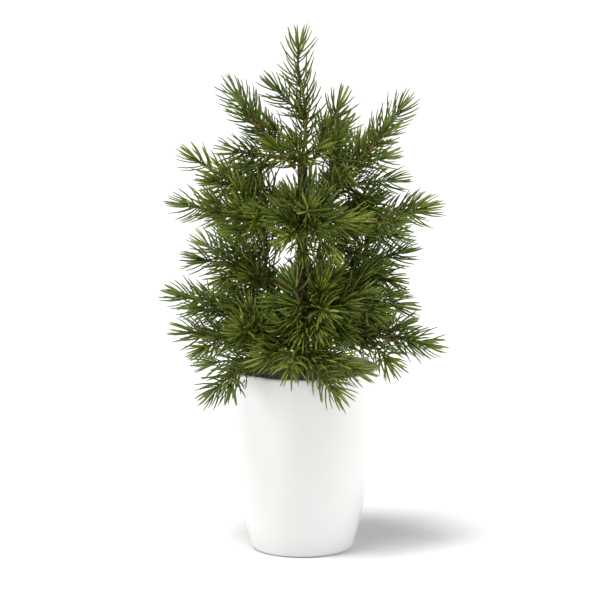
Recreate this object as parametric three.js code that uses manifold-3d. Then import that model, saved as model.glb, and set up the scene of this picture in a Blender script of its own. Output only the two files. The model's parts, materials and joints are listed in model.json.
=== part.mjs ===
// An artificial tabletop pine in a white cachepot: millimetres, +Z up, +X to the right, +Y to the back.
// The origin is the centre of the pot's flat base. The tree is cast into a liner pot that lifts out of
// the cachepot. Its trunk is a steel rod inside moulded bark sleeves, and tape bindings hold the wires of
// the branches to it. Each branch is a forked wire inside its moulded needles.
import * as THREE from 'three';
import { mergeVertices } from 'three/addons/utils/BufferGeometryUtils.js';
import Module from 'manifold-3d';

const wasm = await Module();
wasm.setup();

// ---- Driving dimensions ----

const GAP = 0.35; // clearance between pieces that touch

const POT = {
  height: 157,
  rimRadius: 64,
  footRadius: 39, // of the flat base, inside the rounded edge
  edgeRadius: 43.8, // at the top of the rounded edge
  edgeHeight: 4,
  bellyRadius: 63.4, // the corner that the curve of the side leans to
  bellyHeight: 72,
  wall: 4.5,
  floor: 6,
};
const LINER = { low: 6.6, high: 142, footRadius: 33, mouthRadius: 52, wall: 1.4, lip: 2.5, lipHeight: 4 };
const BALLAST_TOP = 72;
const FOAM_TOP = 138;
const TOPPING = { low: 142.5, high: 152, radius: 58.4, edge: 2 };

const ROD = { radius: 2, low: 24, high: 333 };
const TRUNK = { footRadius: 5.4, topRadius: 3.2, top: 334 };
const BINDING_THICKNESS = 1.5;
const BINDING_EDGE = 0.8; // by which its ends are thinner
const BARK_SWELL = 0.5;
const BINDINGS = [
  { low: 175, high: 186 },
  { low: 199, high: 227 },
  { low: 261, high: 272 },
  { low: 291, high: 302 },
  { low: 321, high: 332.5 },
];

const WIRE_RADIUS = 1.1;
const TWIG_WIRE_RADIUS = 0.8;
const WIRE_STEP = 17; // length of one straight step of a wire
const NEEDLE_CORE = 5.2; // radius of the dense core of the needles round a shoot
const NEEDLE_TIP = 15; // how far the needles reach beyond the end of the wire

const POT_SEGMENTS = 28;
const LINER_SEGMENTS = 24;
const ROD_SEGMENTS = 8;
const TRUNK_SEGMENTS = 10;
const WIRE_SIDES = 4;
const NEEDLE_SIDES = 6;
const TWIG_SIDES = 5;

// A branch leaves the trunk at height foot, heading turn degrees round from +X, and its wire ends at the
// distance reach from the trunk's axis and at height tip. bow lifts the middle of the wire off the straight
// line, and bare is the length of wire with no needles. A twig leaves the wire at the share at of its
// length, heading turn degrees off the branch, runs length outwards and rises by lift.
const BRANCHES = {
  low_right: {
    foot: 180, turn: -8, reach: 102, tip: 179, bow: 5, bare: 27,
    twigs: [
      { at: 0.4, turn: -50, length: 50, lift: -14 },
      { at: 0.46, turn: 42, length: 38, lift: 4 },
      { at: 0.7, turn: -36, length: 24, lift: 0 },
    ],
  },
  low_front_left: {
    foot: 180, turn: 222, reach: 97, tip: 151, bow: 5, bare: 25,
    twigs: [
      { at: 0.48, turn: -38, length: 34, lift: -3 },
      { at: 0.72, turn: 34, length: 22, lift: -8 },
    ],
  },
  low_left: {
    foot: 181, turn: 183, reach: 93, tip: 187, bow: -3, bare: 11,
    twigs: [
      { at: 0.2, turn: 56, length: 48, lift: 18 },
      { at: 0.46, turn: -40, length: 38, lift: 0 },
      { at: 0.62, turn: 36, length: 26, lift: -5 },
    ],
  },
  low_front: {
    foot: 181, turn: 263, reach: 83, tip: 172, bow: 4, bare: 18,
    twigs: [
      { at: 0.34, turn: 40, length: 56, lift: -28 },
      { at: 0.42, turn: -40, length: 34, lift: -4 },
      { at: 0.46, turn: 66, length: 56, lift: -12 },
    ],
  },
  low_back_right: {
    foot: 180, turn: 55, reach: 92, tip: 182, bow: 4, bare: 26,
    twigs: [
      { at: 0.4, turn: -38, length: 40, lift: 2 },
      { at: 0.5, turn: 40, length: 38, lift: -6 },
    ],
  },
  low_back_left: {
    foot: 181, turn: 125, reach: 94, tip: 180, bow: 3, bare: 26,
    twigs: [
      { at: 0.4, turn: -42, length: 38, lift: -4 },
      { at: 0.48, turn: 34, length: 38, lift: -6 },
    ],
  },
  second_left: {
    foot: 203, turn: 168, reach: 103, tip: 213, bow: -4, bare: 30,
    twigs: [
      { at: 0.46, turn: 34, length: 38, lift: 3 },
      { at: 0.54, turn: -36, length: 36, lift: 6 },
    ],
  },
  second_front: {
    foot: 208, turn: 287, reach: 66, tip: 215, bow: 3, bare: 10,
    twigs: [
      { at: 0.3, turn: 38, length: 30, lift: 3 },
      { at: 0.36, turn: -42, length: 32, lift: 6 },
    ],
  },
  second_right: {
    foot: 205, turn: -17, reach: 82, tip: 214, bow: 6, bare: 26,
    twigs: [
      { at: 0.42, turn: -34, length: 36, lift: -3 },
      { at: 0.5, turn: 38, length: 32, lift: 2 },
    ],
  },
  second_back: {
    foot: 211, turn: 92, reach: 88, tip: 221, bow: 4, bare: 24,
    twigs: [
      { at: 0.38, turn: -42, length: 40, lift: 4 },
      { at: 0.46, turn: 40, length: 38, lift: 0 },
    ],
  },
  third_left: {
    foot: 223, turn: 180, reach: 83, tip: 248, bow: 4, bare: 21,
    twigs: [
      { at: 0.36, turn: -28, length: 52, lift: 20 },
      { at: 0.5, turn: 44, length: 30, lift: -4 },
    ],
  },
  third_right: {
    foot: 219, turn: 6, reach: 80, tip: 252, bow: 3, bare: 22,
    twigs: [
      { at: 0.45, turn: -38, length: 38, lift: -2 },
      { at: 0.4, turn: 40, length: 38, lift: 8 },
    ],
  },
  fourth_left: {
    foot: 267, turn: 184, reach: 94, tip: 295, bow: 4, bare: 11,
    twigs: [
      { at: 0.24, turn: 50, length: 40, lift: 22 },
      { at: 0.5, turn: 44, length: 36, lift: 18 },
      { at: 0.42, turn: -42, length: 38, lift: 4 },
    ],
  },
  fourth_right: {
    foot: 264, turn: -4, reach: 98, tip: 292, bow: 3, bare: 17,
    twigs: [
      { at: 0.48, turn: -44, length: 40, lift: 6 },
      { at: 0.26, turn: 26, length: 50, lift: -6 },
      { at: 0.7, turn: 32, length: 24, lift: 6 },
    ],
  },
  fourth_front: {
    foot: 269, turn: 275, reach: 62, tip: 301, bow: 3, bare: 12,
    twigs: [
      { at: 0.32, turn: 44, length: 34, lift: 8 },
      { at: 0.4, turn: -44, length: 30, lift: 8 },
    ],
  },
  fourth_back: {
    foot: 266, turn: 80, reach: 82, tip: 297, bow: 4, bare: 20,
    twigs: [
      { at: 0.34, turn: -44, length: 40, lift: 4 },
      { at: 0.42, turn: 44, length: 40, lift: 8 },
    ],
  },
  fifth_left: {
    foot: 297, turn: 176, reach: 87, tip: 331, bow: -5, bare: 20,
    twigs: [
      { at: 0.44, turn: 38, length: 34, lift: 10 },
      { at: 0.36, turn: -46, length: 40, lift: 14 },
    ],
  },
  fifth_right: {
    foot: 295, turn: 4, reach: 80, tip: 373, bow: -4, bare: 13,
    twigs: [
      { at: 0.2, turn: -16, length: 50, lift: 8 },
      { at: 0.42, turn: 34, length: 36, lift: 6 },
      { at: 0.52, turn: -44, length: 26, lift: 24 },
      { at: 0.3, turn: 60, length: 36, lift: 24 },
    ],
  },
  top_left: {
    foot: 326, turn: 170, reach: 55, tip: 386, bow: -2, bare: 6,
    twigs: [
      { at: 0.17, turn: 30, length: 42, lift: 6 },
      { at: 0.32, turn: -52, length: 34, lift: 16 },
      { at: 0.5, turn: 46, length: 20, lift: 20 },
    ],
  },
  top_right: {
    foot: 327, turn: -14, reach: 30, tip: 378, bow: -2, bare: 8,
    twigs: [
      { at: 0.25, turn: -34, length: 24, lift: 12 },
      { at: 0.3, turn: 62, length: 30, lift: 16 },
    ],
  },
  top_front: {
    foot: 326, turn: 262, reach: 40, tip: 352, bow: 1, bare: 6,
    twigs: [
      { at: 0.3, turn: -44, length: 24, lift: 12 },
      { at: 0.36, turn: 42, length: 24, lift: 10 },
    ],
  },
};

// The leader's wire goes up from its foot through these points.
const LEADER = {
  points: [[0, 0, 335.5], [3, 0, 362], [1.4, 0, 385], [-3.6, 0, 408], [-3, 0, 427]],
  bare: 9,
  twig: { at: 0.32, to: [-19, 0, 391] },
};

// ---- Materials ----

const colours = {
  glaze: { color: 0xf4f4f2, roughness: 0.12, metalness: 0 },
  linerPlastic: { color: 0x1c1c1c, roughness: 0.55, metalness: 0 },
  cement: { color: 0x9a978f, roughness: 0.95, metalness: 0 },
  foam: { color: 0x4f6b4a, roughness: 0.95, metalness: 0 },
  grit: { color: 0xa3a394, roughness: 0.95, metalness: 0 },
  steel: { color: 0x8c8c8c, roughness: 0.35, metalness: 1 },
  bark: { color: 0x4a382c, roughness: 0.85, metalness: 0 },
  tape: { color: 0x5b4634, roughness: 0.9, metalness: 0 },
  stem: { color: 0x8a5a36, roughness: 0.8, metalness: 0 },
  needles: { color: 0x48501f, roughness: 0.5, metalness: 0 },
};

function named(name, geometry, colour) {
  const mesh = new THREE.Mesh(geometry, new THREE.MeshStandardMaterial(colours[colour]));
  mesh.name = name;
  return mesh;
}

// ---- Geometry helpers ----

// A geometry with shared corners and no collapsed faces, so that every edge joins two faces.
function welded(geometry) {
  geometry.deleteAttribute('normal');
  geometry.deleteAttribute('uv');
  const merged = mergeVertices(geometry, 1e-4);
  const corners = merged.index.array;
  const kept = [];
  for (let i = 0; i < corners.length; i += 3) {
    const [a, b, c] = corners.slice(i, i + 3);
    if (a !== b && b !== c && c !== a) {
      kept.push(a, b, c);
    }
  }
  merged.setIndex(kept);
  return merged;
}

function solid(geometry) {
  const mesh = welded(geometry);
  return new wasm.Manifold(new wasm.Mesh({
    numProp: 3,
    vertProperties: new Float32Array(mesh.attributes.position.array),
    triVerts: new Uint32Array(mesh.index.array),
  }));
}

function shape(manifold) {
  const mesh = manifold.getMesh();
  const geometry = new THREE.BufferGeometry();
  geometry.setAttribute('position', new THREE.BufferAttribute(mesh.vertProperties, 3));
  geometry.setIndex(new THREE.BufferAttribute(mesh.triVerts, 1));
  return geometry;
}

function joined(solids) {
  return solids.reduce((whole, next) => whole.add(next));
}

// A profile of [radius, height] points turned round the Z axis.
function turned(profile, segments) {
  const points = profile.map(([radius, height]) => new THREE.Vector2(radius, height));
  return new THREE.LatheGeometry(points, segments).rotateX(Math.PI / 2);
}

// The same, for a ring: its profile closes on itself.
function ring(profile, segments) {
  return turned([...profile, profile[0]], segments);
}

// A turned geometry whose Z axis is laid along a curve. across is a direction that the curve never takes.
function laidAlong(curve, geometry, across) {
  const length = curve.getLength();
  const corners = geometry.attributes.position;
  const corner = new THREE.Vector3();
  for (let i = 0; i < corners.count; i += 1) {
    corner.fromBufferAttribute(corners, i);
    const share = THREE.MathUtils.clamp(corner.z / length, 0, 1);
    const beyond = corner.z - share * length;
    const forward = curve.getTangentAt(share);
    const side = new THREE.Vector3().crossVectors(forward, across).normalize();
    const over = new THREE.Vector3().crossVectors(forward, side);
    const place = curve.getPointAt(share)
      .addScaledVector(side, corner.x)
      .addScaledVector(over, corner.y)
      .addScaledVector(forward, beyond);
    corners.setXYZ(i, place.x, place.y, place.z);
  }
  return geometry;
}

function headed(turn, distance, height) {
  const angle = THREE.MathUtils.degToRad(turn);
  return new THREE.Vector3(distance * Math.cos(angle), distance * Math.sin(angle), height);
}

// ---- Pot, liner and what fills it ----

// The pot's outline is one soft curve from its rounded foot to its rim, and its inside follows it.
function cachepot() {
  const { height, rimRadius, footRadius, edgeRadius, edgeHeight, bellyRadius, bellyHeight, wall, floor } = POT;
  const lip = wall / 2;
  const outline = new THREE.Path();
  outline.moveTo(0, 0);
  outline.lineTo(footRadius, 0);
  outline.quadraticCurveTo(edgeRadius - 1, 0, edgeRadius, edgeHeight);
  outline.quadraticCurveTo(bellyRadius, bellyHeight, rimRadius, height - lip);
  outline.quadraticCurveTo(rimRadius, height, rimRadius - lip, height);
  outline.quadraticCurveTo(rimRadius - wall, height, rimRadius - wall, height - lip);
  outline.quadraticCurveTo(bellyRadius - wall, bellyHeight, edgeRadius - wall, floor + 2);
  outline.quadraticCurveTo(edgeRadius - wall - 1, floor, edgeRadius - wall - 4, floor);
  outline.lineTo(0, floor);
  const profile = outline.getPoints(4).map(({ x, y }) => [x, y]);
  return named('cachepot', turned(profile, POT_SEGMENTS), 'glaze');
}

function linerRadius(height) {
  const { low, high, footRadius, mouthRadius } = LINER;
  const share = (height - low) / (high - low);
  return THREE.MathUtils.lerp(footRadius, mouthRadius, share);
}

function linerPot() {
  const { low, high, footRadius, mouthRadius, wall, lip, lipHeight } = LINER;
  const profile = [
    [0, low],
    [footRadius, low],
    [mouthRadius, high - lipHeight],
    [mouthRadius + lip, high - lipHeight],
    [mouthRadius + lip, high],
    [mouthRadius - wall, high],
    [footRadius - wall, low + wall],
    [0, low + wall],
  ];
  return named('liner_pot', turned(profile, LINER_SEGMENTS), 'linerPlastic');
}

// A filling of the liner between two heights, with a hole for the rod.
function filling(name, low, high, colour) {
  const inside = LINER.wall + GAP;
  const hole = ROD.radius + GAP;
  const profile = [
    [hole, low],
    [linerRadius(low) - inside, low],
    [linerRadius(high) - inside, high],
    [hole, high],
  ];
  return named(name, ring(profile, LINER_SEGMENTS), colour);
}

// Cement cast over the foot of the rod, which stops short of the liner's floor.
function cementBallast() {
  const low = LINER.low + LINER.wall + GAP;
  const high = BALLAST_TOP;
  const inside = LINER.wall + GAP;
  const profile = [
    [0, low],
    [linerRadius(low) - inside, low],
    [linerRadius(high) - inside, high],
    [ROD.radius + GAP, high],
    [ROD.radius + GAP, ROD.low - GAP],
    [0, ROD.low - GAP],
  ];
  return named('cement_ballast', turned(profile, LINER_SEGMENTS), 'cement');
}

// Bonded grit with a shallow rise to its rough middle.
function stoneTopping() {
  const { low, high, radius, edge } = TOPPING;
  const hole = ROD.radius + GAP;
  const profile = [
    [hole, low],
    [radius - edge / 2, low],
    [radius, low + edge],
    [radius - edge, high - edge],
    [radius * 0.6, high - 0.6],
    [radius * 0.25, high],
    [hole, high],
  ];
  return named('stone_topping', ring(profile, POT_SEGMENTS), 'grit');
}

// ---- Trunk ----

function trunkRadius(height) {
  const share = (height - TOPPING.high) / (TRUNK.top - TOPPING.high);
  return THREE.MathUtils.lerp(TRUNK.footRadius, TRUNK.topRadius, share);
}

function bindingRadius(height) {
  return trunkRadius(height) + BINDING_THICKNESS;
}

function trunkRod() {
  const { radius, low, high } = ROD;
  const profile = [[0, low], [radius, low], [radius, high - 1], [radius - 1, high], [0, high]];
  return named('trunk_rod', turned(profile, ROD_SEGMENTS), 'steel');
}

// Bark swells a little where it meets the bindings above and below it.
function barkSleeve(name, low, high) {
  const hole = ROD.radius + GAP;
  const middle = (low + high) / 2;
  const profile = [
    [hole, low],
    [trunkRadius(low) + BARK_SWELL, low],
    [trunkRadius(middle), middle],
    [trunkRadius(high) + BARK_SWELL, high],
    [hole, high],
  ];
  return named(name, ring(profile, TRUNK_SEGMENTS), 'bark');
}

function tapeBinding(name, low, high) {
  const hole = ROD.radius + GAP;
  const profile = [
    [hole, low],
    [bindingRadius(low) - BINDING_EDGE, low],
    [bindingRadius(low), low + BINDING_EDGE],
    [bindingRadius(high), high - BINDING_EDGE],
    [bindingRadius(high) - BINDING_EDGE, high],
    [hole, high],
  ];
  return named(name, ring(profile, TRUNK_SEGMENTS), 'tape');
}

function trunk() {
  const pieces = [trunkRod()];
  let below = TOPPING.high;
  BINDINGS.forEach(({ low, high }, i) => {
    pieces.push(barkSleeve(`bark_sleeve_${i + 1}`, below + GAP, low - GAP));
    pieces.push(tapeBinding(`tape_binding_${i + 1}`, low, high));
    below = high;
  });
  return pieces;
}

// ---- Shoots: wires and needles ----

function footRadius(height) {
  return bindingRadius(height) + GAP + WIRE_RADIUS;
}

function branchCurve({ foot, turn, reach, tip, bow }) {
  const start = footRadius(foot);
  return new THREE.QuadraticBezierCurve3(
    headed(turn, start, foot),
    headed(turn, (start + reach) / 2, (foot + tip) / 2 + 2 * bow),
    headed(turn, reach, tip),
  );
}

// A twig leaves its branch forwards and then bends to its own heading.
function twigCurve(branch, heading, { at, turn, length, lift }) {
  const start = branch.getPointAt(at);
  const end = headed(heading + turn, length, lift).add(start);
  const middle = headed(heading + turn * 0.7, length * 0.5, lift * 0.4).add(start);
  return new THREE.QuadraticBezierCurve3(start, middle, end);
}

function leaderCurves() {
  const main = new THREE.CatmullRomCurve3(LEADER.points.map((p) => new THREE.Vector3(...p)));
  const start = main.getPointAt(LEADER.twig.at);
  const end = new THREE.Vector3(...LEADER.twig.to);
  const middle = start.clone().lerp(end, 0.5).add(new THREE.Vector3(0, 0, 3));
  return [main, new THREE.QuadraticBezierCurve3(start, middle, end)];
}

// The profile of a wire of even steps, with a domed foot, tapered to its end.
function wireProfile(length, radius) {
  const steps = Math.max(2, Math.round(length / WIRE_STEP));
  const profile = [[0, -radius]];
  for (let i = 0; i <= steps; i += 1) {
    const share = i / steps;
    profile.push([radius * (1 - 0.35 * share), share * length]);
  }
  profile.push([0, length + radius]);
  return profile;
}

function wire(curve, radius, across) {
  const profile = wireProfile(curve.getLength(), radius);
  return solid(laidAlong(curve, turned(profile, WIRE_SIDES), across));
}

// The dense core of the needles: it swells from nothing, keeps its width and closes past the wire's end.
function needleCore(curve, from, sides, across) {
  const length = curve.getLength();
  const covered = length - from;
  const profile = [
    [0, from],
    [NEEDLE_CORE, from + covered * 0.25],
    [NEEDLE_CORE, from + covered * 0.65],
    [NEEDLE_CORE * 0.8, length + NEEDLE_TIP * 0.3],
    [0, length + NEEDLE_TIP],
  ];
  return solid(laidAlong(curve, turned(profile, sides), across));
}

// A shoot system: its first curve is the stem and the others fork from it.
function shoots(name, curves, bare, across) {
  const radii = curves.map((curve, i) => (i === 0 ? WIRE_RADIUS : TWIG_WIRE_RADIUS));
  const wires = joined(curves.map((curve, i) => wire(curve, radii[i], across)));
  const bores = joined(curves.map((curve, i) => wire(curve, radii[i] + GAP, across)));
  const cores = joined(curves.map((curve, i) => (
    needleCore(curve, i === 0 ? bare : 0, i === 0 ? NEEDLE_SIDES : TWIG_SIDES, across)
  )));
  return [
    named(`${name}_wire`, shape(wires), 'stem'),
    named(`${name}_needles`, shape(cores.subtract(bores)), 'needles'),
  ];
}

function branchShoots(name, branch) {
  const stem = branchCurve(branch);
  const twigs = branch.twigs.map((twig) => twigCurve(stem, branch.turn, twig));
  return shoots(name, [stem, ...twigs], branch.bare, new THREE.Vector3(0, 0, 1));
}

// ---- Assembly ----

const group = new THREE.Group();
group.add(
  cachepot(),
  linerPot(),
  cementBallast(),
  filling('foam_block', BALLAST_TOP + GAP, FOAM_TOP, 'foam'),
  stoneTopping(),
  ...trunk(),
);
Object.entries(BRANCHES).forEach(([name, branch]) => {
  group.add(...branchShoots(name, branch));
});
group.add(...shoots('leader', leaderCurves(), LEADER.bare, new THREE.Vector3(0, 1, 0)));

export default group;
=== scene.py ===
"""The looks of the artificial tabletop pine: its needles, stems, bark, grit and glazed pot, around the
fixed frame, with a plain white floor and soft studio light. Everything is in metres."""

import heapq
import json
import math
import random

import bpy
import numpy as np
from mathutils import Matrix, Vector, noise


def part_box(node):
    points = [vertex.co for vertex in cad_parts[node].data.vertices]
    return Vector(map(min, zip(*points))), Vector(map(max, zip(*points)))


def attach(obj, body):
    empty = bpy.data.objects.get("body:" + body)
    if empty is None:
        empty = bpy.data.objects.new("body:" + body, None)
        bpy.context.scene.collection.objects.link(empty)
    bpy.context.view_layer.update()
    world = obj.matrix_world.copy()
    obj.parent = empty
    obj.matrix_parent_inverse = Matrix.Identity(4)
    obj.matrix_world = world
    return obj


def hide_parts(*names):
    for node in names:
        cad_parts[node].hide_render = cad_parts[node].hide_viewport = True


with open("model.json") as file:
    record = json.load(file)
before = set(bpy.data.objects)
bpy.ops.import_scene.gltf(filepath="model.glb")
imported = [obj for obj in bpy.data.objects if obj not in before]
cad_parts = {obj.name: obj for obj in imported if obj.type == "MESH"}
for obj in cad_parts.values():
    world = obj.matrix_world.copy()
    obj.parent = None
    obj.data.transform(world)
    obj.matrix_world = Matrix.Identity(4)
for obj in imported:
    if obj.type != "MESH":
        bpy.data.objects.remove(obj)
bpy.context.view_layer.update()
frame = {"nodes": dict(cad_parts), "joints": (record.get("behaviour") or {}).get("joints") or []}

# ---- Sizes ----

MM = 0.001

UP = Vector((0, 0, 1))
GOLDEN_ANGLE = math.radians(137.5)  # between one needle and the next round a shoot

NEEDLE_LENGTH = 24.5 * MM
NEEDLE_WIDTH = 1.75 * MM
NEEDLE_THICKNESS = 1.35 * MM
NEEDLE_RINGS = ((0.0, 0.8), (0.25, 1.0), (0.58, 0.95), (0.86, 0.62))  # shares of its length and width
NEEDLE_SPACING = 0.93 * MM  # along a shoot, from one needle to the next
SPARSE_SPACING = 2.6 * MM  # the same on the old wood near the trunk
SPARSE_REACH = 0.62  # the share of the full length that needles have on the old wood
YOUNG_REACH = 0.8  # the same for the first thick needles of a shoot
YOUNG_LENGTH = 12 * MM  # the stretch over which they come to their full length
NEEDLE_LEAN = 58  # degrees between a needle's foot and its shoot
NEEDLE_CURVE = 34  # degrees by which a needle bends forwards
NEEDLE_TWIST = 0.6  # the most that a needle is turned about its own length, in radians
LEAN_SCATTER = 3  # degrees
TIP_LEAN_SCATTER = 6  # degrees more at the tip
CURVE_SCATTER = 4  # degrees
FOOT_DEPTH = 0.7  # the share of its stem's radius at which a needle's foot is

TIP_TUFT = 11 * MM  # stretch before a shoot's end where the needles close up
# What the tuft takes off, as shares, at its end:
TIP_LEAN_LOSS = 0.72
TIP_CURVE_LOSS = 0.5
TIP_LENGTH_LOSS = 0.18
TIP_SPACING_LOSS = 0.4
TIP_GROWTH = 4 * MM  # by which a shoot's green end outgrows its wire
WORN_LENGTH = 9 * MM  # a stretch of each shoot where needles are missing
WORN_SHARE = 0.6
BARE_FOOT = 3 * MM  # of a side twig or side shoot, with few needles

STEM_RADIUS = 1.45 * MM
TWIG_RADIUS = 1.1 * MM
STEM_SIDES = 8
STEM_TAPER = 0.4
STEM_ROUGHNESS = 0.22
SHORTEST_TWIG = 9 * MM
RING_REACH = 2.6 * MM  # two points of a wire's skin this close are on the same ring
PATH_STEP = 1.5 * MM
PEG_LENGTH = 1.5 * MM  # of the woody scale at a needle's foot
PEG_RADIUS = 0.45 * MM

# Short side shoots stand round every stem near the trunk and fill the heart of the crown.
SHOOT_SPACING = 5.8 * MM
STEEP_LEAN = 80  # degrees to the stem beside the trunk
SHOOT_LEAN = 50  # and further out
STEEP_REACH = 40 * MM  # from the trunk's axis to where the lean is the smaller one
SHOOT_BEND = 18  # degrees by which a shoot bends forwards half-way
SHOOT_TURNS = (-math.pi / 2, math.pi / 2, 0, math.pi)  # up, down and to both sides
LONGEST_SHOOT = 36 * MM
SHORTEST_SHOOT = 22 * MM
SHOOT_RADIUS = 0.9 * MM
TRUNK_CLEARANCE = 9 * MM
POT_CLEARANCE = 4 * MM
HEART_RADIUS = 66 * MM  # of the crown's filled heart
HEART_SHOULDER = 300 * MM  # the height from which it tapers
HEART_TOP = 405 * MM

WHORLS = 5  # of branches, each with a bark sleeve and a tape binding
ROD_HOLE = 2.35 * MM  # radius of the hole for the trunk rod in all that stands round it
HOLE_MARGIN = 0.3 * MM  # skin this close to the hole stays smooth
TRUNK_SEGMENTS = 36
BARK_STEP = 0.8 * MM
BARK_RIDGE = 0.55 * MM
BARK_KNOT = 0.35 * MM
TAPE_WIDTH = 3.2 * MM
TAPE_CREASE = 0.3 * MM
# One turn of tape: at these shares of its width, its skin is this many mm off the full radius.
TAPE_LAP = ((0.02, -1.0), (0.12, -0.35), (0.55, -0.3), (0.9, -0.45))

POT_WALL = 4.5 * MM
POT_FOOT_RADIUS = 39 * MM  # of its flat base
POT_EDGE_RADIUS = 43.8 * MM  # at the top of its rounded edge
POT_EDGE_HEIGHT = 4 * MM
POT_BELLY_RADIUS = 63.4 * MM  # the corner that the curve of its side leans to
POT_BELLY_HEIGHT = 72 * MM
POT_FLOOR = 6 * MM
EDGE_INSET = 1 * MM  # of the corners that the rounded edges lean to
CORNER_WIDTH = 4 * MM  # of the inside's rounded corner
CORNER_HEIGHT = 2 * MM
POT_SEGMENTS = 144
EDGE_STEPS = 8  # of the rounded foot and of each half of the rim
OUTSIDE_STEPS = 40
INSIDE_STEPS = 24
CORNER_STEPS = 6
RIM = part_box("cachepot")[1]  # the corner of the pot's box: its rim's radius and height

LINER_FOOT_RADIUS = 33 * MM
LINER_WALL = 1.4 * MM
LINER_LIP_WIDTH = 2.5 * MM
LINER_LIP_DEPTH = 4 * MM
LINER_FOOT_ROUND = 1.5 * MM
LINER_CHAMFER = 0.4 * MM
LINER_TOP_CHAMFER = 0.5 * MM
LINER_SEGMENTS = 96

GRIT_STONES = 900
GRIT_SIZE = (1.3 * MM, 3.0 * MM)
STONE_CLEARANCE = 7 * MM  # from the trunk's axis to the nearest stones
BED_DEPTH = 2.2 * MM  # of the bed's top below the tops of its stones
BED_INSET = 0.2 * MM
BED_SWELL = 0.8 * MM
BED_STEP = 1.9 * MM
BED_RINGS = 29
BED_SEGMENTS = 90
PEBBLE_RINGS = 4
PEBBLE_SIDES = 7
PEBBLE_SWELL = 0.28

VIEW_ELEVATION = 10  # degrees
VIEW_DISTANCE = 3.2
VIEW_TARGET = Vector((-0.0021, 0, 0.2139))
VIEW_WIDTH = 0.5076  # what the frame takes in at the target

FLOOR_REACH = 30.0
SUN_AZIMUTH = 228  # degrees round from +X
SUN_ELEVATION = 73
SUN_SPREAD = 28
SUN_STRENGTH = 3.1
SIDE_LIGHT_PLACE = (1.1, -0.1, 0.2)  # of the right one; the left one mirrors it
SIDE_LIGHT_AIM = (0, 0, 0.12)
SIDE_LIGHT_SIZE = (0.8, 0.3)
LEFT_POWER = 4
RIGHT_POWER = 5
SKY_STRENGTH = 0.32


# ---- Mesh and material helpers ----


def direction_to(azimuth, rise):
    """The direction at an azimuth round from +X and a rise above level, both in radians."""
    level = math.cos(rise)
    return Vector((math.cos(azimuth) * level, math.sin(azimuth) * level, math.sin(rise)))


def mesh_piece(name, vertices, faces, material, tones=None):
    """A smooth mesh. tones is one colour a vertex, which its material reads as the attribute tone."""
    mesh = bpy.data.meshes.new(name)
    mesh.from_pydata([tuple(v) for v in vertices], [], faces)
    mesh.materials.append(material)
    mesh.polygons.foreach_set("use_smooth", [True] * len(mesh.polygons))
    if tones is not None:
        layer = mesh.color_attributes.new("tone", "FLOAT_COLOR", "POINT")
        layer.data.foreach_set("color", np.array(tones, np.float32).ravel())
    mesh.validate()
    piece = bpy.data.objects.new(name, mesh)
    bpy.context.scene.collection.objects.link(piece)
    return piece


class Nodes:
    """A material's node tree, with short ways to add and join nodes."""

    def __init__(self, name):
        self.material = bpy.data.materials.new(name)
        self.material.use_nodes = True
        self.tree = self.material.node_tree
        self.shader = self.tree.nodes["Principled BSDF"]
        self.place = self.add("ShaderNodeTexCoord").outputs["Object"]

    def add(self, kind, **inputs):
        node = self.tree.nodes.new(kind)
        for key, value in inputs.items():
            self.put(node, key.replace("_", " "), value)
        return node

    def put(self, node, socket, value):
        if isinstance(value, bpy.types.NodeSocket):
            self.tree.links.new(value, node.inputs[socket])
        else:
            node.inputs[socket].default_value = value

    def noise(self, scale, detail=3.0, roughness=0.55):
        node = self.add("ShaderNodeTexNoise", Scale=scale, Detail=detail, Roughness=roughness)
        self.put(node, "Vector", self.place)
        return node.outputs["Fac"]

    def cells(self, scale, output="Color"):
        node = self.add("ShaderNodeTexVoronoi", Scale=scale)
        self.put(node, "Vector", self.place)
        return node.outputs[output]

    def ramp(self, value, stops):
        node = self.add("ShaderNodeValToRGB", Fac=value)
        ramp = node.color_ramp
        while len(ramp.elements) < len(stops):
            ramp.elements.new(0.5)
        for element, (at, colour) in zip(ramp.elements, stops):
            element.position = at
            element.color = (*colour, 1)
        return node.outputs["Color"]

    def mix(self, share, first, second):
        node = self.tree.nodes.new("ShaderNodeMix")
        node.data_type = "RGBA"
        # a Mix node's colour sockets go by number: 0 is its factor, 6 and 7 are A and B, 2 is the result
        for socket, value in ((0, share), (6, first), (7, second)):
            if isinstance(value, tuple):
                value = (*value, 1)
            self.put(node, socket, value)
        return node.outputs[2]

    def spread(self, value, low, high):
        node = self.add("ShaderNodeMapRange", Value=value, To_Min=low, To_Max=high)
        return node.outputs["Result"]

    def bump(self, height, strength, distance):
        node = self.add("ShaderNodeBump", Height=height, Strength=strength, Distance=distance)
        return node.outputs["Normal"]

    def finish(self, colour, roughness, normal=None, **settings):
        self.put(self.shader, "Base Color", colour)
        self.put(self.shader, "Roughness", roughness)
        if normal is not None:
            self.put(self.shader, "Normal", normal)
        for key, value in settings.items():
            self.put(self.shader, key.replace("_", " "), value)
        return self.material


def srgb(red, green, blue):
    """A colour as the eye names it, from 0 to 255, as linear light."""
    linear = []
    for channel in (red, green, blue):
        share = channel / 255
        linear.append(share / 12.92 if share <= 0.04045 else ((share + 0.055) / 1.055) ** 2.4)
    return tuple(linear)


# ---- Materials ----


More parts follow.
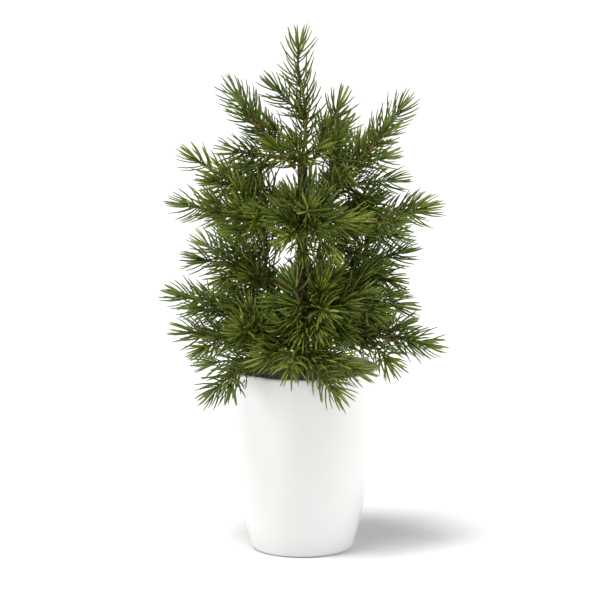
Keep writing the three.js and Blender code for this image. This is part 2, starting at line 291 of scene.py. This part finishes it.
def needle_material():
    """tone holds a random number for each needle, the share of the way to its tip, and a random number
    for each shoot."""
    n = Nodes("needles")
    tone = n.add("ShaderNodeAttribute")
    tone.attribute_name = "tone"
    parts = n.add("ShaderNodeSeparateColor", Color=tone.outputs["Color"])
    own, along, other = parts.outputs[0], parts.outputs[1], parts.outputs[2]
    green = n.ramp(
        own,
        [
            (0.0, srgb(74, 86, 9)),
            (0.45, srgb(115, 129, 30)),
            (0.8, srgb(144, 156, 54)),
            (1.0, srgb(178, 182, 94)),
        ],
    )
    bluish = n.mix(n.spread(other, 0.0, 0.5), green, srgb(70, 104, 50))
    shaded = n.mix(n.spread(along, 0.4, 0.0), bluish, srgb(44, 50, 8))
    streaks = n.mix(n.spread(n.noise(260), 0.0, 0.16), shaded, srgb(120, 132, 56))
    bump = n.bump(n.noise(1400, 2), 0.25, 0.1 * MM)
    return n.finish(streaks, n.spread(n.noise(500), 0.42, 0.58), bump, IOR=1.4)


def stem_material():
    """Brown taped stems that turn green towards their ends, with orange-brown scales in patches. tone
    holds 1 on a scale and 0 on the bark, then the share of the way to the stem's end for the bark, then a
    random number for each scale."""
    n = Nodes("stem")
    tone = n.add("ShaderNodeAttribute")
    tone.attribute_name = "tone"
    parts = n.add("ShaderNodeSeparateColor", Color=tone.outputs["Color"])
    scale, along, own = parts.outputs[0], parts.outputs[1], parts.outputs[2]
    brown = n.ramp(
        n.noise(420, 5),
        [(0.3, srgb(70, 48, 30)), (0.55, srgb(112, 78, 46)), (0.75, srgb(150, 106, 62))],
    )
    green = n.ramp(n.noise(300, 4), [(0.3, srgb(56, 64, 22)), (0.7, srgb(104, 106, 46))])
    patches = n.ramp(n.noise(50, 2), [(0.43, (0, 0, 0)), (0.52, (1, 1, 1))])
    orange = n.ramp(
        own,
        [(0.0, srgb(150, 102, 50)), (0.6, srgb(212, 146, 74)), (1.0, srgb(236, 184, 116))],
    )
    rust = n.ramp(n.noise(520, 4), [(0.35, srgb(144, 100, 52)), (0.65, srgb(222, 164, 92))])
    old = n.mix(patches, brown, rust)
    bark = n.mix(n.ramp(along, [(0.35, (0, 0, 0)), (0.65, (1, 1, 1))]), old, green)
    scales = n.mix(patches, green, orange)
    colour = n.mix(scale, bark, scales)
    return n.finish(colour, n.spread(n.noise(300), 0.6, 0.85), n.bump(n.noise(900, 5), 0.7, 0.4 * MM))


def bark_material():
    n = Nodes("bark")
    colour = n.ramp(
        n.noise(240, 8, 0.65),
        [(0.32, srgb(40, 28, 24)), (0.5, srgb(78, 58, 46)), (0.66, srgb(112, 88, 70))],
    )
    cracks = n.cells(330, "Distance")
    return n.finish(colour, n.spread(cracks, 0.95, 0.7), n.bump(cracks, 0.9, 0.8 * MM))


def tape_material():
    """Crepe tape: fine creases across its width, with painted shade in their troughs."""
    n = Nodes("tape")
    creases = n.add("ShaderNodeTexWave", Scale=260.0, Distortion=6.0, Detail=3.0)
    creases.bands_direction = "Z"
    n.put(creases, "Vector", n.place)
    height = creases.outputs["Fac"]
    # painted shade: the tape's colour follows the crease wave, darker in the troughs and lighter on the
    # crests
    colour = n.ramp(height, [(0.1, srgb(58, 42, 30)), (0.9, srgb(110, 82, 56))])
    mottled = n.mix(n.spread(n.noise(160), 0.0, 0.5), colour, srgb(70, 52, 38))
    return n.finish(mottled, n.spread(n.noise(600), 0.8, 0.95), n.bump(height, 0.6, 0.3 * MM))


def glaze_material():
    """A white gloss glaze with a trace of ripple and the faintest change of warmth."""
    n = Nodes("glaze")
    colour = n.ramp(n.noise(14, 2), [(0.3, srgb(226, 226, 223)), (0.7, srgb(229, 229, 228))])
    ripple = n.bump(n.noise(22, 1), 0.12, 0.6 * MM)
    gloss = n.spread(n.noise(60), 0.1, 0.17)
    return n.finish(colour, gloss, ripple, Coat_Weight=0.25, Coat_Roughness=0.05)


def grit_material():
    n = Nodes("grit")
    stones = n.ramp(
        n.cells(230),
        [
            (0.0, srgb(150, 147, 138)),
            (0.4, srgb(196, 198, 190)),
            (0.75, srgb(222, 222, 214)),
            (1.0, srgb(240, 238, 232)),
        ],
    )
    speckled = n.mix(n.spread(n.noise(900, 4), 0.0, 0.6), stones, srgb(168, 166, 158))
    return n.finish(speckled, n.spread(n.noise(400), 0.75, 0.95), n.bump(n.noise(700, 6), 0.8, 0.5 * MM))


def liner_material():
    n = Nodes("liner_plastic")
    colour = n.ramp(n.noise(90, 4), [(0.35, srgb(24, 24, 24)), (0.7, srgb(38, 38, 37))])
    return n.finish(colour, n.spread(n.noise(300), 0.45, 0.6), n.bump(n.noise(1200), 0.2, 0.1 * MM))


def cement_material():
    n = Nodes("cement")
    colour = n.ramp(n.noise(120, 8), [(0.3, srgb(128, 125, 118)), (0.7, srgb(172, 169, 160))])
    return n.finish(colour, n.spread(n.noise(80), 0.85, 0.98), n.bump(n.noise(500, 6), 0.6, 0.5 * MM))


def foam_material():
    n = Nodes("foam")
    cells = n.cells(700, "Distance")
    # painted shade: the foam is darker at the bottoms of its pits and lighter on the walls between them,
    # following the same cells as the bump
    colour = n.ramp(cells, [(0.0, srgb(52, 74, 50)), (0.6, srgb(92, 116, 84))])
    return n.finish(colour, n.spread(cells, 0.98, 0.85), n.bump(cells, 0.8, 0.4 * MM))


def steel_material():
    n = Nodes("steel")
    colour = n.ramp(n.noise(200, 4), [(0.3, srgb(120, 120, 122)), (0.7, srgb(168, 168, 170))])
    bump = n.bump(n.noise(900), 0.2, 0.1 * MM)
    return n.finish(colour, n.spread(n.noise(400), 0.25, 0.45), bump, Metallic=1.0)


def floor_material():
    n = Nodes("floor")
    colour = n.ramp(n.noise(2), [(0.0, (0.96, 0.96, 0.96)), (1.0, (0.98, 0.98, 0.98))])
    return n.finish(colour, n.spread(n.noise(5), 0.9, 0.95))


# ---- Centre lines of the wires, from the frame ----


def grouped(points, reach):
    """For each point, the number of its group: points within reach of one another share one."""
    group = list(range(len(points)))

    def top(i):
        while group[i] != i:
            group[i] = group[group[i]]
            i = group[i]
        return i

    places = np.array([tuple(p) for p in points])
    for i in range(len(points)):
        near = np.nonzero(np.linalg.norm(places[i + 1 :] - places[i], axis=1) < reach)[0]
        for j in near + i + 1:
            group[top(int(j))] = top(i)
    numbers = {}
    return [numbers.setdefault(top(i), len(numbers)) for i in range(len(points))]


def wire_graph(node):
    """The middles of a wire's rings, and for each of them the rings that its faces join it to."""
    mesh = frame["nodes"][node].data
    points = [v.co.copy() for v in mesh.vertices]
    group = grouped(points, RING_REACH)
    members = {}
    for number, point in zip(group, points):
        members.setdefault(number, set()).add(tuple(round(c, 6) for c in point))
    middles = [
        sum((Vector(p) for p in members[k]), Vector()) / len(members[k]) for k in range(len(members))
    ]
    joined = {k: set() for k in range(len(middles))}
    for edge in mesh.edges:
        a, b = (group[i] for i in edge.vertices)
        if a != b:
            joined[a].add(b)
            joined[b].add(a)
    return middles, joined


def wire_paths(node, foot):
    """The centre lines of a forked wire, longest first, each from the foot or its fork to its end."""
    middles, joined = wire_graph(node)
    root = min(range(len(middles)), key=lambda k: (middles[k] - foot).length)
    before, cost = {root: None}, {root: 0.0}
    queue = [(0.0, root)]
    while queue:
        so_far, k = heapq.heappop(queue)
        if so_far > cost[k]:
            continue
        for other in joined[k]:
            # short steps cost less than one long one, so a path passes through its forks
            total = so_far + (middles[k] - middles[other]).length_squared
            if total < cost.get(other, math.inf):
                before[other], cost[other] = k, total
                heapq.heappush(queue, (total, other))
    ends = set(before) - set(before.values())
    routes = []
    for end in ends:
        route, k = [], end
        while k is not None:
            route.append(k)
            k = before[k]
        routes.append(route[::-1])
    routes.sort(key=lambda r: (-length_of([middles[k] for k in r]), r))
    taken, paths = set(), []
    for route in routes:
        fork = max([i for i, k in enumerate(route) if k in taken], default=0)
        path = [middles[k] for k in route[fork:]]
        if length_of(path) > SHORTEST_TWIG:
            paths.append(path)
            taken.update(route)
    return paths


def length_of(points):
    return sum((b - a).length for a, b in zip(points, points[1:]))


def smoothed(points, step):
    """Points a step apart on a smooth curve through the given ones."""
    ends = [2 * points[0] - points[1], *points, 2 * points[-1] - points[-2]]
    curve = []
    for a, b, c, d in zip(ends, ends[1:], ends[2:], ends[3:]):
        pieces = max(2, round((c - b).length / step))
        for i in range(pieces):
            t = i / pieces
            linear = (c - a) * t
            square = (2 * a - 5 * b + 4 * c - d) * t**2
            cubic = (3 * b - a - 3 * c + d) * t**3
            curve.append(0.5 * (2 * b + linear + square + cubic))
    return [*curve, points[-1]]


class Path:
    """A centre line that can be asked for its place and direction at a distance from its start."""

    def __init__(self, points):
        self.points = smoothed(points, PATH_STEP)
        self.at = [0.0]
        for a, b in zip(self.points, self.points[1:]):
            self.at.append(self.at[-1] + (b - a).length)
        self.length = self.at[-1]

    def place(self, distance):
        k = int(np.searchsorted(self.at, distance)) - 1
        k = min(max(k, 0), len(self.points) - 2)
        share = (distance - self.at[k]) / (self.at[k + 1] - self.at[k])
        return self.points[k].lerp(self.points[k + 1], share)

    def forward(self, distance):
        ahead = self.place(min(distance + PATH_STEP, self.length))
        behind = self.place(max(distance - PATH_STEP, 0))
        return (ahead - behind).normalized()

    def across(self, distance):
        """Two directions square to the path."""
        forward = self.forward(distance)
        helper = UP if abs(forward.z) < 0.9 else Vector((1, 0, 0))
        side = forward.cross(helper).normalized()
        return side, forward.cross(side)


# ---- Needles and stems ----


class Mesher:
    """Gathers the vertices, faces and tones of one piece."""

    def __init__(self):
        self.vertices, self.faces, self.tones = [], [], []

    def rings(self, rings, tones, tip):
        """A closed skin over rings of equal count that ends in one tip. tones has one for each ring and
        one for the tip."""
        start, count = len(self.vertices), len(rings[0])
        for ring, tone in zip(rings, tones):
            self.vertices += ring
            self.tones += [tone] * count
        self.vertices.append(tip)
        self.tones.append(tones[-1])
        last = len(self.vertices) - 1
        self.faces.append([start + i for i in reversed(range(count))])
        for r in range(len(rings) - 1):
            a = start + r * count
            for i in range(count):
                j = (i + 1) % count
                self.faces.append([a + i, a + j, a + count + j, a + count + i])
        a = start + (len(rings) - 1) * count
        for i in range(count):
            self.faces.append([a + i, a + (i + 1) % count, last])

    def piece(self, name, material):
        return mesh_piece(name, self.vertices, self.faces, material, self.tones)


def add_needle(mesher, foot, along, out, length, lean, curve, tone, rng):
    """One needle that leaves its shoot at an angle lean from the direction along, towards out, and bends
    forwards by curve."""
    side = along.cross(out).normalized()
    places, place, before = [], foot.copy(), 0.0
    shares = [share for share, _ in NEEDLE_RINGS] + [1.0]
    directions = []
    for share in shares:
        angle = lean - curve * (share + before) / 2
        direction = along * math.cos(angle) + out * math.sin(angle)
        place = place + direction * (share - before) * length
        places.append(place)
        directions.append(direction)
        before = share
    twist = rng.uniform(-NEEDLE_TWIST, NEEDLE_TWIST)
    width = NEEDLE_WIDTH * rng.uniform(0.85, 1.15) / 2
    thickness = NEEDLE_THICKNESS * rng.uniform(0.85, 1.15) / 2
    rings, tones = [], []
    for (share, wide), place, direction in zip(NEEDLE_RINGS, places, directions):
        flat = side * math.cos(twist) + direction.cross(side) * math.sin(twist)
        thick = direction.cross(flat)
        rings.append([
            place + flat * width * wide,
            place + thick * thickness * wide,
            place - flat * width * wide,
            place - thick * thickness * wide,
        ])
        tones.append((tone[0], share, tone[1], 1))
    tones.append((tone[0], 1.0, tone[1], 1))
    mesher.rings(rings, tones, places[-1])


def add_shoot_needles(needles, pegs, path, radius, bare, rng, mood):
    """Needles round a path. They stand thickly from bare on, and sparsely before it. mood, from 0 to 1,
    makes them lighter, and closing grows from 0 to 1 over the tuft at the tip."""
    turn = rng.uniform(0, math.tau)
    distance = rng.uniform(0.5, 2) * MM
    hue = rng.random()
    worn = rng.uniform(bare, max(bare, path.length - TIP_TUFT))
    while distance < path.length:
        thick = distance > bare
        forward = path.forward(distance)
        side, over = path.across(distance)
        out = side * math.cos(turn) + over * math.sin(turn)
        left = path.length - distance
        closing = max(0.0, 1 - left / TIP_TUFT)
        scatter = rng.gauss(0, LEAN_SCATTER + TIP_LEAN_SCATTER * closing)
        lean = math.radians(NEEDLE_LEAN * (1 - TIP_LEAN_LOSS * closing) + scatter)
        grown_up = min(1.0, (distance - bare) / YOUNG_LENGTH)
        reach = YOUNG_REACH + (1 - YOUNG_REACH) * grown_up if thick else SPARSE_REACH
        length = NEEDLE_LENGTH * reach * (1 - TIP_LENGTH_LOSS * closing) * rng.uniform(0.92, 1.06)
        tone = (min(1, max(0, rng.gauss(mood + 0.12 * closing, 0.2))), hue)
        foot = path.place(distance) + out * radius * FOOT_DEPTH
        curve = math.radians(rng.gauss(NEEDLE_CURVE, CURVE_SCATTER)) * (1 - TIP_CURVE_LOSS * closing)
        lost = abs(distance - worn) < WORN_LENGTH / 2 and rng.random() < WORN_SHARE
        if not lost:
            add_needle(needles, foot, forward, out, length, lean, curve, tone, rng)
        if left > TIP_TUFT:
            add_peg(pegs, foot, forward, out, rng)
        turn += GOLDEN_ANGLE + rng.uniform(-0.15, 0.15)
        spacing = NEEDLE_SPACING if thick else SPARSE_SPACING
        distance += spacing * rng.uniform(0.8, 1.2) * (1 - TIP_SPACING_LOSS * closing)


def add_peg(pegs, foot, along, out, rng):
    """The small woody scale at a needle's foot, which leans forwards along the stem."""
    direction = (along * 0.75 + out * 0.66).normalized()
    side = along.cross(out).normalized() * PEG_RADIUS
    thick = direction.cross(side)
    base = foot - out * 0.5 * MM
    own = rng.random()
    ring = [base + side, base + thick, base - side, base - thick]
    reach = PEG_LENGTH * rng.uniform(0.8, 1.3)
    upper = [p + direction * reach * 0.6 for p in ring]
    pegs.rings([ring, upper], [(1, 0, own, 1)] * 3, base + direction * reach)


def add_stem(mesher, path, radius, rng):
    """A stem with a rough skin that thins towards its end."""
    rings, tones = [], []
    seed = Vector((rng.uniform(0, 9), rng.uniform(0, 9), rng.uniform(0, 9)))
    for distance in np.arange(0, path.length, PATH_STEP):
        side, over = path.across(distance)
        middle = path.place(distance)
        share = distance / path.length
        ring = []
        for i in range(STEM_SIDES):
            turn = math.tau * i / STEM_SIDES
            out = side * math.cos(turn) + over * math.sin(turn)
            rough = 1 + STEM_ROUGHNESS * noise.noise((middle + out * radius) * 420 + seed)
            ring.append(middle + out * radius * (1 - STEM_TAPER * share) * rough)
        rings.append(ring)
        tones.append((0, share, 0.5, 1))
    tones.append((0, 1, 0.5, 1))
    mesher.rings(rings, tones, path.place(path.length))


def side_shoots(path, bends, rng):
    """Short shoots round a stem: up, down, to one side, to the other side and so on. The first ones are
    the longest and the steepest. Those that leave the heart of the crown, and those that would meet the
    trunk, the grit or the rim as the branch bends, are left out."""
    shoots = []
    distance = SHOOT_SPACING
    while distance < path.length:
        forward = path.forward(distance)
        side, over = path.across(distance)
        turn = SHOOT_TURNS[len(shoots) % len(SHOOT_TURNS)] + rng.gauss(0, 0.3)
        out = side * math.cos(turn) + over * math.sin(turn)
        share = distance / path.length
        length = (LONGEST_SHOOT + (SHORTEST_SHOOT - LONGEST_SHOOT) * share) * rng.uniform(0.85, 1.15)
        steep = max(0, 1 - math.hypot(*path.place(distance).xy) / STEEP_REACH)
        lean = math.radians(SHOOT_LEAN + (STEEP_LEAN - SHOOT_LEAN) * steep + rng.gauss(0, 8))
        bent = lean - math.radians(SHOOT_BEND)
        foot = path.place(distance)
        middle = foot + (forward * math.cos(lean) + out * math.sin(lean)) * length / 2
        end = middle + (forward * math.cos(bent) + out * math.sin(bent)) * length / 2
        shoots.append([foot, middle, end])
        distance += SHOOT_SPACING * rng.uniform(0.8, 1.2)
    fitting = [
        points
        for points in shoots
        if all(in_heart(place) and all(is_clear(bend @ place) for bend in bends) for place in points[1:])
    ]
    return [Path(points) for points in fitting]


def in_heart(place):
    """Whether a place is in the heart of the crown, which tapers towards the top."""
    taper = max(0, (place.z - HEART_SHOULDER) / (HEART_TOP - HEART_SHOULDER))
    return math.hypot(place.x, place.y) < HEART_RADIUS * (1 - taper)


def is_clear(place):
    """Whether a place is off the trunk and clear of the grit and the pot's rim."""
    from_axis = math.hypot(place.x, place.y)
    over_pot = from_axis < RIM.x + POT_CLEARANCE and place.z < RIM.z + POT_CLEARANCE
    return from_axis > TRUNK_CLEARANCE and not over_pot


def bends_of(joint):
    """A branch's turn about its hinge at rest and at each limit."""
    foot = Vector(joint["pos_m"])
    return [
        Matrix.Translation(foot)
        @ Matrix.Rotation(math.radians(angle), 4, Vector(joint["axis"]))
        @ Matrix.Translation(-foot)
        for angle in (0, *joint["range_deg"])
    ]


def grown(points):
    """A wire's centre line with the shoot's green end added."""
    return [*points, points[-1] + (points[-1] - points[-2]).normalized() * TIP_GROWTH]


def shoot_system(joint, needle_look, stem_look):
    """The needles and the forked stem of one branch, on its own body."""
    name, foot = joint["child"], Vector(joint["pos_m"])
    rng = random.Random(name)
    bends = bends_of(joint)
    paths = [Path(grown(points)) for points in wire_paths(f"{name}_wire", foot)]
    core = [v.co for v in frame["nodes"][f"{name}_needles"].data.vertices]
    bare = min((co - foot).length for co in core)
    needles, stems = Mesher(), Mesher()
    branch_mood = rng.uniform(0.3, 0.55)
    for i, path in enumerate(paths):
        radius = STEM_RADIUS if i == 0 else TWIG_RADIUS
        start = bare if i == 0 else BARE_FOOT
        add_stem(stems, path, radius, rng)
        mood = branch_mood + rng.uniform(-0.1, 0.1)
        add_shoot_needles(needles, stems, path, radius, start, rng, mood)
        for shoot in side_shoots(path, bends, rng):
            add_stem(stems, shoot, SHOOT_RADIUS, rng)
            shoot_mood = mood + rng.uniform(-0.14, 0.14)
            add_shoot_needles(needles, stems, shoot, SHOOT_RADIUS, BARE_FOOT, rng, shoot_mood)
    for mesher, look, kind in ((needles, needle_look, "needles"), (stems, stem_look, "wire")):
        piece = mesher.piece(f"{name}_{kind}_fine", look)
        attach(piece, name)
        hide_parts(f"{name}_{kind}")


# ---- Turned pieces ----


def arc(start, corner, end, steps):
    """Points on a soft curve from start to end that leans towards corner, without its last point."""
    points = []
    for i in range(steps):
        t = i / steps
        points.append(tuple(
            (1 - t) ** 2 * a + 2 * t * (1 - t) * b + t**2 * c for a, b, c in zip(start, corner, end)
        ))
    return points


def revolved(name, profile, segments, material, shape=None):
    """A profile of (radius, height) points that starts and ends on the axis, or closes on itself, turned
    about the Z axis. shape may move each vertex, and gets the vertex and its direction from the axis."""
    closed = profile[0][0] > 0
    rings, vertices, faces = [], [], []
    for radius, height in profile:
        if radius == 0:
            vertices.append(Vector((0, 0, height)))
            rings.append([len(vertices) - 1] * segments)
            continue
        ring = []
        for i in range(segments):
            turn = math.tau * i / segments
            out = Vector((math.cos(turn), math.sin(turn), 0))
            place = out * radius + UP * height
            vertices.append(shape(place, out) if shape else place)
            ring.append(len(vertices) - 1)
        rings.append(ring)
    pairs = list(zip(rings, rings[1:]))
    if closed:
        pairs.append((rings[-1], rings[0]))
    for low, high in pairs:
        for i in range(segments):
            j = (i + 1) % segments
            corners = [low[i], low[j], high[j], high[i]]
            faces.append(list(dict.fromkeys(corners)))
    return mesh_piece(name, vertices, faces, material)


def cachepot():
    """The pot: a rounded foot, one soft curve up its side, a round rim and an inside that follows."""
    height, rim = RIM.z, RIM.x
    lip = POT_WALL / 2
    inner = rim - POT_WALL
    edge, inner_edge = POT_EDGE_RADIUS, POT_EDGE_RADIUS - POT_WALL
    inner_floor = inner_edge - CORNER_WIDTH
    corner_top = POT_FLOOR + CORNER_HEIGHT
    profile = [(0, 0)]
    profile += arc((POT_FOOT_RADIUS, 0), (edge - EDGE_INSET, 0), (edge, POT_EDGE_HEIGHT), EDGE_STEPS)
    profile += arc(
        (edge, POT_EDGE_HEIGHT),
        (POT_BELLY_RADIUS, POT_BELLY_HEIGHT),
        (rim, height - lip),
        OUTSIDE_STEPS,
    )
    profile += arc((rim, height - lip), (rim, height), (rim - lip, height), EDGE_STEPS)
    profile += arc((rim - lip, height), (inner, height), (inner, height - lip), EDGE_STEPS)
    profile += arc(
        (inner, height - lip),
        (POT_BELLY_RADIUS - POT_WALL, POT_BELLY_HEIGHT),
        (inner_edge, corner_top),
        INSIDE_STEPS,
    )
    profile += arc(
        (inner_edge, corner_top),
        (inner_edge - EDGE_INSET, POT_FLOOR),
        (inner_floor, POT_FLOOR),
        CORNER_STEPS,
    )
    profile += [(inner_floor, POT_FLOOR), (0, POT_FLOOR)]
    pot = revolved("cachepot_fine", profile, POT_SEGMENTS, glaze_material())
    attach(pot, "pot")
    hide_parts("cachepot")


def liner_pot():
    """The plastic liner: a tapered side under a lip that stands out, with its edges broken."""
    low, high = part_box("liner_pot")
    lip, foot, wall = high.x, LINER_FOOT_RADIUS, LINER_WALL
    mouth = lip - LINER_LIP_WIDTH
    step = high.z - LINER_LIP_DEPTH
    base = [(0, low.z), (foot - LINER_FOOT_ROUND, low.z)]
    foot_edge = [(foot - LINER_CHAMFER, low.z + LINER_CHAMFER), (foot, low.z + LINER_FOOT_ROUND)]
    under_lip = [(mouth, step), (lip - LINER_CHAMFER, step), (lip, step + LINER_CHAMFER)]
    over_lip = [(lip, high.z - LINER_TOP_CHAMFER), (lip - LINER_TOP_CHAMFER, high.z)]
    inside = [(mouth - wall, high.z), (foot - wall, low.z + wall), (0, low.z + wall)]
    profile = base + foot_edge + under_lip + over_lip + inside
    liner = revolved("liner_pot_fine", profile, LINER_SEGMENTS, liner_material())
    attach(liner, "tree")
    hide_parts("liner_pot")


def at_hole(place):
    """Whether a place is on the hole for the trunk rod."""
    return Vector((place.x, place.y)).length < ROD_HOLE + HOLE_MARGIN


def bark_sleeve(number, look):
    """A moulded sleeve with upright ridges and knots."""
    node = f"bark_sleeve_{number}"
    low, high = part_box(node)
    mean_radius = high.x - BARK_RIDGE

    def rough(place, out):
        if at_hole(place):
            return place
        ridges = noise.noise(Vector((place.x * 700, place.y * 700, place.z * 130)))
        knots = noise.noise(place * 260)
        return place + out * (BARK_RIDGE * ridges + BARK_KNOT * knots)

    steps = max(4, round((high.z - low.z) / BARK_STEP))
    profile = [(ROD_HOLE, low.z)]
    for i in range(steps + 1):
        profile.append((mean_radius, low.z + (high.z - low.z) * i / steps))
    profile.append((ROD_HOLE, high.z))
    sleeve = revolved(f"{node}_fine", profile, TRUNK_SEGMENTS, look, rough)
    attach(sleeve, "tree")
    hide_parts(node)


def tape_binding(number, look):
    """Turns of crepe tape, each lapping the one below."""
    node = f"tape_binding_{number}"
    low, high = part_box(node)

    def creased(place, out):
        if at_hole(place):
            return place
        return place + out * TAPE_CREASE * noise.noise(place * 500)

    turns = max(3, round((high.z - low.z) / TAPE_WIDTH))
    pitch = (high.z - low.z) / turns
    profile = [(ROD_HOLE, low.z)]
    for k in range(turns):
        foot = low.z + k * pitch
        for share, swell in TAPE_LAP:
            profile.append((high.x + swell * MM, foot + share * pitch))
    profile.append((ROD_HOLE, high.z))
    tape = revolved(f"{node}_fine", profile, TRUNK_SEGMENTS, look, creased)
    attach(tape, "tree")
    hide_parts(node)


# ---- Grit ----


def pebble(mesher, middle, size, rng):
    """A rounded stone: rings of a squashed ball with uneven sides."""
    heading = Matrix.Rotation(rng.uniform(0, math.tau), 3, "Z")
    turn = heading @ Matrix.Rotation(rng.uniform(-0.5, 0.5), 3, "X")
    stretch = Vector((rng.uniform(0.8, 1.2), rng.uniform(0.7, 1.0), rng.uniform(0.55, 0.8)))
    seed = Vector((rng.uniform(0, 50), rng.uniform(0, 50), 0))
    rings, own = [], rng.random()
    for k in range(1, PEBBLE_RINGS + 1):
        rise = math.pi * k / (PEBBLE_RINGS + 1) - math.pi / 2
        ring = []
        for i in range(PEBBLE_SIDES):
            ball = direction_to(math.tau * i / PEBBLE_SIDES, rise)
            ball *= 1 + PEBBLE_SWELL * noise.noise(ball * 1.4 + seed)
            ring.append(middle + turn @ (ball * stretch) * size / 2)
        rings.append(ring)
    top = middle + turn @ (UP * stretch.z) * size / 2
    mesher.rings(rings, [(own, 0, 0, 1)] * (PEBBLE_RINGS + 1), top)


def stone_topping():
    """A bonded bed with loose-looking stones set in it."""
    low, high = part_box("stone_topping")
    radius = high.x - BED_INSET
    rng = random.Random("grit")
    bed_top = high.z - BED_DEPTH

    def uneven(place, out):
        if place.z < bed_top - 1.5 * MM:
            return place
        return place + UP * BED_SWELL * noise.noise(place * 180)

    profile = [(ROD_HOLE, low.z), (radius - 1 * MM, low.z)]
    profile += [(radius, low.z + 2 * MM), (radius, bed_top - 1 * MM)]
    profile += [(radius - k * BED_STEP, bed_top) for k in range(BED_RINGS)]
    profile.append((ROD_HOLE, bed_top))
    look = grit_material()
    bed = revolved("stone_topping_bed", profile, BED_SEGMENTS, look, uneven)
    heap = Mesher()
    for _ in range(GRIT_STONES):
        out = math.sqrt(rng.uniform(STONE_CLEARANCE**2, (radius - 2 * MM) ** 2))
        turn = rng.uniform(0, math.tau)
        size = rng.uniform(*GRIT_SIZE)
        lift = bed_top + rng.uniform(0.0, 0.5) * size * 0.5
        pebble(heap, Vector((out * math.cos(turn), out * math.sin(turn), lift)), size, rng)
    stones = heap.piece("stone_topping_stones", look)
    for piece in (bed, stones):
        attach(piece, "tree")
        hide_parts("stone_topping")


def dress(node, material):
    """A CAD node whose shape is right gets its finished material."""
    mesh = frame["nodes"][node].data
    mesh.materials.clear()
    mesh.materials.append(material)


# ---- Stage ----


def camera():
    """A long lens in front of the target and a little above it."""
    rise = math.radians(VIEW_ELEVATION)
    place = VIEW_TARGET + Vector((0, -math.cos(rise), math.sin(rise))) * VIEW_DISTANCE
    data = bpy.data.cameras.new("camera")
    data.lens = data.sensor_width * VIEW_DISTANCE / VIEW_WIDTH
    eye = bpy.data.objects.new("camera", data)
    eye.location = place
    eye.rotation_euler = (VIEW_TARGET - place).to_track_quat("-Z", "Y").to_euler()
    bpy.context.scene.collection.objects.link(eye)
    bpy.context.scene.camera = eye


def sun_light():
    """Soft light from far off, high up at the front left."""
    source = direction_to(math.radians(SUN_AZIMUTH), math.radians(SUN_ELEVATION))
    data = bpy.data.lights.new("key", "SUN")
    data.energy = SUN_STRENGTH
    data.angle = math.radians(SUN_SPREAD)
    light = bpy.data.objects.new("key", data)
    light.rotation_euler = (-source).to_track_quat("-Z", "Y").to_euler()
    bpy.context.scene.collection.objects.link(light)


def side_light(name, side, power):
    """A low soft box beside the pot: side is 1 for the right and -1 for the left."""
    across, depth, height = SIDE_LIGHT_PLACE
    place = Vector((side * across, depth, height))
    data = bpy.data.lights.new(name, "AREA")
    data.shape = "RECTANGLE"
    data.size, data.size_y = SIDE_LIGHT_SIZE
    data.energy = power
    light = bpy.data.objects.new(name, data)
    light.location = place
    light.rotation_euler = (Vector(SIDE_LIGHT_AIM) - place).to_track_quat("-Z", "Y").to_euler()
    bpy.context.scene.collection.objects.link(light)


def studio():
    """The floor, the lights and an even pale sky."""
    corners = [(-1, -1), (1, -1), (1, 1), (-1, 1)]
    places = [(x * FLOOR_REACH, y * FLOOR_REACH, 0) for x, y in corners]
    floor = mesh_piece("floor", places, [[0, 1, 2, 3]], floor_material())
    sun_light()
    side_light("left", -1, LEFT_POWER)
    side_light("right", 1, RIGHT_POWER)
    world = bpy.data.worlds.new("studio")
    world.use_nodes = True
    background = world.node_tree.nodes["Background"]
    background.inputs["Color"].default_value = (1, 1, 1, 1)
    background.inputs["Strength"].default_value = SKY_STRENGTH
    scene = bpy.context.scene
    scene.world = world
    scene.view_settings.view_transform = "Standard"


# ---- The model ----

camera()
studio()
cachepot()
liner_pot()
stone_topping()
dress("cement_ballast", cement_material())
dress("foam_block", foam_material())
dress("trunk_rod", steel_material())

bark_look = bark_material()
tape_look = tape_material()
for whorl in range(1, WHORLS + 1):
    bark_sleeve(whorl, bark_look)
    tape_binding(whorl, tape_look)

needle_look = needle_material()
stem_look = stem_material()
for joint in frame["joints"]:
    if joint["type"] == "hinge":
        shoot_system(joint, needle_look, stem_look)
